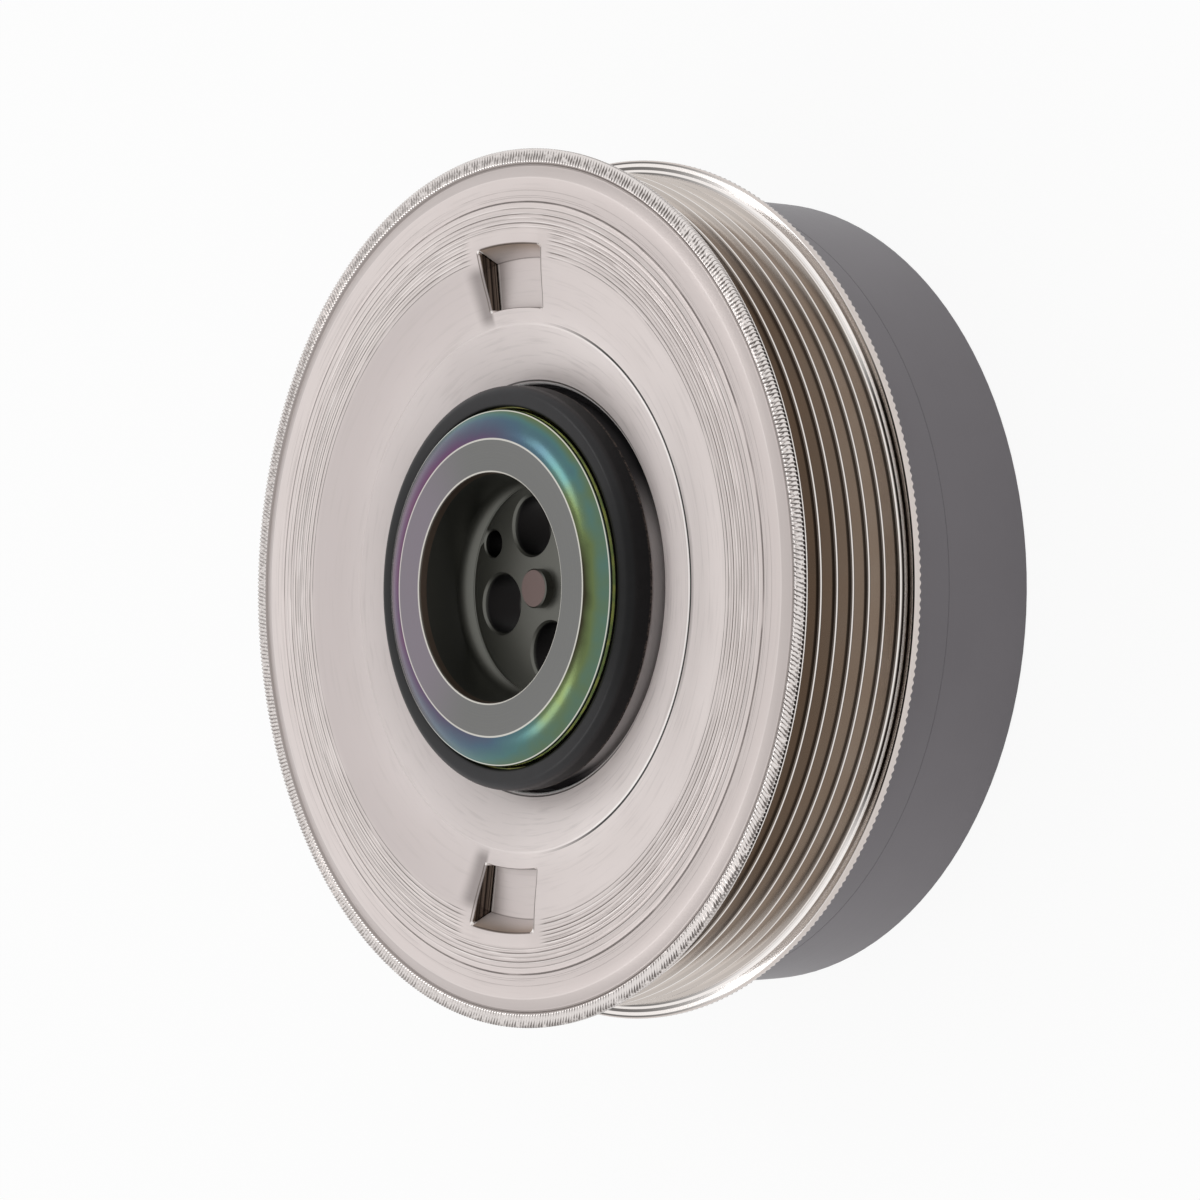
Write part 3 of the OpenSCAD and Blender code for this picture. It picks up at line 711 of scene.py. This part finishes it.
# Darker towards the front as painted shade, with random brownish tone, a painted sheen at the top
# and bottom, and painted shade behind the front rim
drum_color = nickel.layers(
    nickel.mix(groove_place.between(-0.8, 4.5), srgb(142, 131, 121), srgb(186, 177, 169)),
    (nickel.noise(9.0) * 0.45, srgb(166, 146, 128)),
    (tip_shade * (0.85 - upright * 0.5), srgb(48, 42, 38)),
    (upright.between(0.6, 0.98) * 0.6, srgb(222, 214, 208)),
    (rib_tip_highlight, srgb(232, 226, 222)),
    (behind_ribs * drum, flange_reflection_color),
    (rear_face, srgb(206, 197, 192)),
    (rim_back_shade, srgb(58, 52, 48)))
# The front rim's outer edge: a painted highlight line on dark painted reflection, paler at the top
# and bottom
front_edge = r.between(flange_r - 0.12, flange_r - 0.06) * behind.band(0.4, 1.4, 0.06)
front_edge_reflection_color = nickel.layers(
    nickel.mix(behind.band(0.92, 1.14, 0.06), srgb(36, 31, 28), srgb(236, 230, 226)),
    (upright.between(0.5, 0.8), srgb(206, 198, 194)))

color = nickel.layers(
    face_color,
    (drum, drum_color),
    (front_edge, front_edge_reflection_color),
    (hole_lip_highlight, srgb(255, 252, 250)),
    (hole_edge_shade * 0.9, srgb(44, 39, 37)),
    (cut_shade * 0.85, shade),
    (cut_highlight * 0.75, painted_highlight),
    (deep_line_shade * (broken * 0.4 + 0.2), srgb(66, 58, 54)),
    (slope_edge_highlight * 0.1, painted_highlight),
    (step_shade * 0.5, srgb(120, 112, 110)),
    (step_highlight * (rightward.between(0.0, 0.8) * 0.75 + 0.12), painted_highlight),
    (step_shadow_line * rightward.between(0.1, 0.55), srgb(26, 23, 22)),
    (seam * 0.6, shade),
    (pocket_crease_shade * 0.8, shade),
    # pocket walls painted dark as shade, with streaks
    (wall, nickel.mix(streaks, srgb(42, 36, 32), srgb(112, 101, 92))),
    (lip_shade_line * 0.8, shade),
    (lip_highlight * 0.7, painted_highlight),
    (fold_highlight * 0.8, painted_highlight),
    (corner_glint, painted_highlight),
    (speckle * (1 - to_right) * 0.35, srgb(120, 112, 108)),
    (front_valley_shade * (to_right * 0.4 + 0.5), srgb(74, 66, 62)),
    (rear_valley_shade * 0.7, srgb(84, 78, 74)))
nickel.set("Base Color", color)
nickel.set("Metallic", (0.55 - dished * 0.2 - near_nose * 0.27).larger(polished))
nickel.set("Roughness", 0.3 + cloud * 0.06 - polished * 0.2 + turned_marks * 0.03)
nickel.bump(turned_marks * 0.004 + grain * 0.0015 - cut_shade * 0.05)
pulley.data.materials.append(nickel.material)
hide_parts("pulley")
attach(pulley, "pulley_side")

# The hub: a steel forging turned all over. Its nose carries a machined ring face, a crowned
# band with a rainbow zinc passivate and a recess whose floor takes four bolts and a dowel.
nose_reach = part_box("hub")[1].z / mm - rim_z
nose_r = 26
nose_crown = 0.35
band_steps = 13
seat_r = 31.2
seat_reach = 1.75
seat_bevel = 0.3
recess_r = 20.25
recess_wall_r = 19.95
recess_taper_len = 1.6
recess_fillet = 4
floor_depth = 8.3
floor_step = 0.6
floor_bevel = 0.1
floor_t = 9
spot_r = 18.5
stub_r = 3.5
stub_h = 1.8
stub_bevel = 0.25
register_r = 21
register_bevel = 1
web_depth = 22.778
web_t = 5.5
web_fillet = 3
collar_depth = 12.678
collar_bore_r = 50.35
collar_r = 54.95
collar_bevel = 0.5
track_r = 52
track_waist = 0.8
track_lead = 0.8
track_run_out = 2.0
rim_in_r = 47.5
rim_bevel = 0.5
rim_inset = 1.2
ring_depth = 29.5
ring_end = rim_z
bolt_circle_r = 11.5
bolt_hole_r = 5.25
bolt_turn = 14
bolt_bevel = 0.4
dowel_circle_r = 16
dowel_hole_r = 2.4
dowel_turn = 150
dowel_bevel = bolt_bevel * 0.6
drill_over = 1
drill_lead = 0.5

fillet_run = spot_r - recess_wall_r + recess_fillet
fillet_rise = sqrt(recess_fillet ** 2 - fillet_run ** 2)
fillet_start = degrees(asin(fillet_rise / recess_fillet))
stub_top = floor_depth - stub_h
shelf = floor_depth - floor_step
recess = [(0, stub_top), (stub_r - stub_bevel, stub_top), (stub_r, stub_top + stub_bevel),
          (stub_r, floor_depth), (spot_r, floor_depth), (spot_r, shelf + floor_bevel),
          (spot_r + floor_bevel, shelf)]
recess += arc((recess_wall_r - recess_fillet, shelf - fillet_rise), recess_fillet,
              fillet_start - 2, 0, 8)
recess += [(recess_wall_r, recess_taper_len - nose_reach),
           (recess_r - 0.05, 0.12 - nose_reach), (recess_r + 0.12, -nose_reach)]
band = []
for i in range(1, band_steps):
    t = i / band_steps
    fall = (nose_reach - seat_reach) * t
    band.append((nose_r + (seat_r - seat_bevel - nose_r) * t,
                 fall - nose_reach - nose_crown * 4 * t * (1 - t)))
nose = [(nose_r - 0.12, -nose_reach), (nose_r + 0.06, 0.02 - nose_reach)] + band
nose += [(seat_r - seat_bevel, -seat_reach), (seat_r - 0.08, 0.1 - seat_reach),
         (seat_r, 0.35 - seat_reach)]
web_end = web_depth + web_t
web = [(seat_r, web_depth - web_fillet)]
web += arc((seat_r + web_fillet, web_depth - web_fillet), web_fillet, 180, 90, 6)
web += [(collar_bore_r, web_depth), (collar_bore_r, collar_depth),
        (collar_r - collar_bevel, collar_depth), (collar_r, collar_depth + collar_bevel),
        (collar_r, web_end - collar_bevel), (collar_r - collar_bevel, web_end),
        (track_r, web_end)]
track_start = ring_depth + track_lead
track_end = ring_end - track_run_out
track = [(track_r - track_waist * waist, track_start + (track_end - track_start) * share)
         for share, waist in ((0, 0), (0.25, 0), (0.4, 1), (0.6, 1), (0.75, 0), (1, 0))]
rim_end = ring_end - rim_inset
hub_rim = [(track_r, rim_end - rim_bevel), (track_r - rim_bevel, rim_end),
           (rim_in_r + rim_bevel, rim_end), (rim_in_r, rim_end - rim_bevel)]
hub_rim += arc((rim_in_r - web_fillet, web_end + web_fillet), web_fillet, 0, -90, 6)
clamp_depth = floor_depth + floor_t
register = [(register_r + register_bevel, web_end), (register_r, web_end - register_bevel),
            (register_r, clamp_depth), (0, clamp_depth)]
hub = turn("hub_forging", recess + nose + web + track + hub_rim + register, 360, closed=False)


def drill(piece, drill_r, circle_r, turned_by, bevel):
    """A drilled hole with a bevelled mouth through the clamped floor."""
    top = floor_depth - drill_lead
    outline = [(0, clamp_depth + drill_over), (drill_r, clamp_depth + drill_over),
               (drill_r, floor_depth + bevel), (drill_r + bevel + drill_lead, top), (0, top)]
    cutter = turn("cutter", outline, 96, closed=False)
    at = radians(turned_by)
    cutter.location = (circle_r * cos(at) * mm, circle_r * sin(at) * mm, 0)
    bpy.ops.object.transform_apply(location=True)
    take(piece)
    cut = piece.modifiers.new("hole", "BOOLEAN")
    cut.object = cutter
    cut.operation = "DIFFERENCE"
    cut.solver = "EXACT"
    bpy.ops.object.modifier_apply(modifier=cut.name)
    bpy.data.objects.remove(cutter)


for i in range(4):
    drill(hub, bolt_hole_r, bolt_circle_r, bolt_turn + 90 * i, bolt_bevel)
drill(hub, dowel_hole_r, dowel_circle_r, dowel_turn, dowel_bevel)
smooth(hub, 28)

steel = Finish("turned_steel_with_rainbow_zinc")
x, y, z = steel.places()
r = (x * x + y * y) ** 0.5
behind = rim_z - z
rightward = x / r
upward = y / r
across = (r - nose_r) / (seat_r - nose_r)
# Colours of the passivate, from a thin film to a thick one, painted by place round the nose and
# across the band.
film_colors = [(0.00, srgb(114, 64, 94)), (0.12, srgb(98, 66, 98)), (0.25, srgb(82, 82, 102)),
               (0.38, srgb(74, 97, 114)), (0.50, srgb(78, 113, 112)), (0.62, srgb(96, 110, 72)),
               (0.75, srgb(50, 48, 35)), (1.00, srgb(96, 92, 66))]
# The film index rises to the right of the nose and towards its outer edge, most at the top, standing
# in for the film's colour shift with the view angle; the 0.75 stop paints a dark reflection
inner_film = rightward * 0.34 + rightward * rightward * 0.17 + 0.27
outer_film = rightward * 0.13 - rightward * rightward * 0.18 + 0.5
ripple = steel.noise(6.0) - 0.5
film = inner_film + (outer_film - inner_film) * across - upward * 0.06 + ripple * 0.14
film = film + across.between(0.6, 1.0) * (upward * 0.5 + 0.5) * 0.16

on_band = r.between(nose_r - 0.1, nose_r + 0.1) * (1 - behind.between(2.0, 3.0))
# Painted highlights on the edges of the nose face, the recess mouth and the seat
edge_highlight = r.band(nose_r - 0.1, nose_r + 0.12, 0.08)
edge_highlight = edge_highlight + r.band(recess_r - 0.05, recess_r + 0.15, 0.08)
edge_highlight = edge_highlight + r.band(seat_r - 0.27, seat_r - 0.14, 0.06)
edge_highlight = edge_highlight * (1 - behind.between(0.5, 1.0))
on_seat = r.between(seat_r - 0.1, seat_r - 0.02) * (1 - behind.between(6.0, 8.0))
in_recess = (1 - r.between(recess_r - 0.05, recess_r + 0.02)) * (1 - behind.between(20, 21))
mouth_depth = recess_taper_len - nose_reach
mouth = in_recess * (1 - behind.between(mouth_depth - 0.1, mouth_depth + 0.1))
# The drilled holes' walls painted dark as shade
hole_wall_shade = in_recess * behind.between(floor_depth + 0.2, floor_depth + 1.2)
hole_wall_shade = hole_wall_shade * (1 - behind.between(clamp_depth - 1, clamp_depth))
on_stub = (1 - r.between(stub_r - 0.3, stub_r - 0.1)) * in_recess
marks = steel.noise(0.12, along=r)
tinted = (0 - rightward).between(0.2, 0.9) * (1 - behind.between(0.0, 2.0))
# The seat painted yellow-green as zinc in a thin band only, and dark elsewhere as painted shade in
# the gap beside the rubber
zinc_color = steel.mix(steel.noise(2.5).between(0.35, 0.65),
                       srgb(158, 164, 90), srgb(118, 136, 86))
zinc_color = steel.mix(behind.band(-1.2, -0.72, 0.1), srgb(24, 22, 20), zinc_color)
color = steel.layers(
    steel.mix(marks, srgb(106, 106, 104), srgb(120, 120, 119)),
    (tinted * 0.5, srgb(138, 124, 140)),
    (on_band, film.ramp(film_colors)),
    (on_seat, zinc_color),
    (in_recess, srgb(101, 101, 96)),
    (mouth, srgb(140, 122, 110)),
    (on_stub, srgb(110, 95, 92)),
    (hole_wall_shade, srgb(36, 34, 34)),
    (edge_highlight * 0.8, srgb(215, 212, 204)))
steel.set("Base Color", color)
steel.set("Metallic", 1 - on_seat * 0.85)
steel.set("Roughness", 0.34 - on_band * 0.17 + marks * 0.05)
steel.bump(marks * 0.006 * (1 - on_band) + steel.noise(0.3) * 0.004)
hub.data.materials.append(steel.material)
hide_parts("hub")
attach(hub, "hub_side")

# The carrier: a deep drawn steel sleeve pressed on the hub. Only the inner part of its front
# edge shows, a thin line between the hub and the rubber, with a yellow-green zinc passivate.
zinc = Finish("yellow_green_zinc", metallic=1.0)
zinc.set("Base Color", zinc.noise(5.0).ramp([(0.3, srgb(104, 112, 62)), (0.5, srgb(140, 134, 82)),
                                             (0.65, srgb(92, 112, 76))]))
zinc.set("Roughness", 0.24 + zinc.noise(0.8) * 0.14)
zinc.bump(zinc.noise(0.25) * 0.004)


def dress(node, finish):
    """Gives a CAD piece its finish."""
    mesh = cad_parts[node].data
    mesh.materials.clear()
    mesh.materials.append(finish.material)


dress("carrier", zinc)

# The decoupler rubber: a black ring moulded on the carrier. Its bead stands in the opening of
# the pulley's face, and the spring itself lies behind the carrier's flange.
rubber_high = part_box("decoupler_rubber")[1]
rubber_r = rubber_high.x / mm
bead_reach = rubber_high.z / mm - rim_z
sleeve_r = 32.8
bead_r = 35.5
bead_round = 1.6
bead_side_end = 3.85
neck_r = 34.6
neck_start = 4.85
carrier_face = 9.4
carrier_t = 1.6
carrier_gap = 1.2
foot_r = 38.0
foot_t = 0.5
lap_r = 31.75
lap_depth = 0.42
lip_depth = 19.478
chamber_lip_r = 38
spring_rows = (33.6, 36.7, 38.6, 40.5, 42.4, 44.3)
bead = [(sleeve_r, lap_depth), (lap_r, lap_depth), (lap_r, 0.35 - bead_reach),
        (lap_r + 0.08, 0.22 - bead_reach), (lap_r + 0.35, 0.1 - bead_reach),
        (lap_r + 0.9, 0.02 - bead_reach)]
bead += arc((bead_r - bead_round, bead_round - bead_reach), bead_round, 270, 360, 9)
bead += [(bead_r, bead_side_end), (neck_r, neck_start), (neck_r, carrier_face - 1.3),
         (neck_r + 0.8, carrier_face - foot_t), (foot_r, carrier_face - foot_t),
         (foot_r, carrier_face), (sleeve_r + 0.8, carrier_face),
         (sleeve_r + 0.2, carrier_face - 0.25), (sleeve_r, carrier_face - 0.8)]
rubber = turn("decoupler_bead", bead, 360)
spring = [(r, dish(r) + sheet_t + carrier_gap + carrier_t)
          for r in (*spring_rows, rubber_r)]
spring += [(rubber_r, lip_depth), (chamber_lip_r, lip_depth), (36.44, lip_depth - 2.5),
           (35.2, lip_depth - 5.5)]
spring = turn("decoupler_spring", spring, 240)
smooth(rubber, 40)
smooth(spring, 40)
take(rubber, spring)
bpy.ops.object.join()

black = Finish("moulded_black_rubber", coat_roughness=0.22)
black.set("Specular IOR Level", 0.12)
x, y, z = black.places()
r = (x * x + y * y) ** 0.5
behind = rim_z - z
sideways = y / r
rightmost = (x / r).between(0.8, 1.0)
crest = (1 - behind.between(0.0, 1.2)) * r.between(lap_r, lap_r + 0.6)
# Painted sheen on the bead's crest, strongest at the top and bottom, with random mottle
crest_sheen_and_mottle = sideways * sideways * crest * 0.8 + black.noise(2.2) * 0.2
# The rubber in the gap painted grey, and a light grey crescent painted in the gap from a little
# above the middle down to near the bottom, standing in for light seen there
in_gap = behind.band(bead_side_end + 0.1, carrier_face - 0.2, 0.15)
gap_light_crescent = in_gap * (1 - r.between(foot_r, foot_r + 0.1))
gap_light_crescent = gap_light_crescent * (1 - sideways.between(0.2, 0.62)) * sideways.between(-0.97, -0.84)
# A speckled brown line painted round the side of the bead
bead_side_brown_line = behind.band(bead_side_end - 0.2, bead_side_end + 0.4, 0.35)
bead_side_brown_line = bead_side_brown_line * black.noise(0.4).between(0.4, 0.6)
black.set("Base Color", black.layers(
    black.mix(crest_sheen_and_mottle, srgb(13, 13, 14), srgb(42, 41, 43)),
    (in_gap, srgb(50, 48, 49)),
    (gap_light_crescent, srgb(157, 151, 150)),
    (bead_side_brown_line * 0.7, srgb(86, 75, 69))))
black.set("Roughness", 0.38 + black.noise(3.0) * 0.12)
black.set("Coat Weight", crest * (1 - rightmost * 0.7) * 0.25)
black.bump(black.noise(0.35) * 0.01)
rubber.data.materials.append(black.material)
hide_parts("decoupler_rubber")
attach(rubber, "hub_side")

# The decoupler ring: plain pressed sheet steel, left bare. It is pressed into the pulley's drum
# and holds the rubber's outer side.
bare = Finish("plain_sheet_steel", metallic=1.0)
bare.set("Base Color", bare.mix(bare.noise(8.0), srgb(168, 168, 170), srgb(186, 186, 188)))
bare.set("Roughness", 0.3 + bare.noise(2.0) * 0.15)
bare.bump(bare.noise(0.4) * 0.003)
dress("decoupler_ring", bare)

# The bearing bush: pale bearing plastic, moulded with a flange and pressed into the hub's
# collar. The decoupler ring runs in it.
plastic = Finish("bearing_plastic")
plastic.set("Base Color", plastic.mix(plastic.noise(4.0), srgb(222, 216, 200),
                                      srgb(205, 198, 180)))
plastic.set("Roughness", 0.45 + plastic.noise(0.6) * 0.1)
dress("bearing_bush", plastic)

# The damper rubber: a matt black ring, pressed in between the hub's rim and the inertia ring
# so that the inertia ring can swing a little against the hub.
track_rubber = Finish("matt_black_rubber")
track_rubber.set("Base Color", track_rubber.mix(track_rubber.noise(1.5), srgb(34, 34, 36),
                                                srgb(50, 49, 50)))
track_rubber.set("Roughness", 0.55 + track_rubber.noise(2.0) * 0.2)
track_rubber.bump(track_rubber.noise(0.5) * 0.01)
dress("damper_rubber", track_rubber)

# The inertia ring: cast iron, turned all over and coated satin black. It sits on the damper
# rubber alone.
coat = Finish("satin_black_coat")
lathe = coat.noise(0.35, along=coat.places()[2])
coat.set("Base Color", coat.mix(coat.noise(20.0), srgb(98, 94, 98), srgb(108, 104, 108)))
coat.set("Roughness", 0.4 + lathe * 0.12)
coat.bump(lathe * 0.008 + coat.noise(0.4) * 0.004)
dress("inertia_ring", coat)
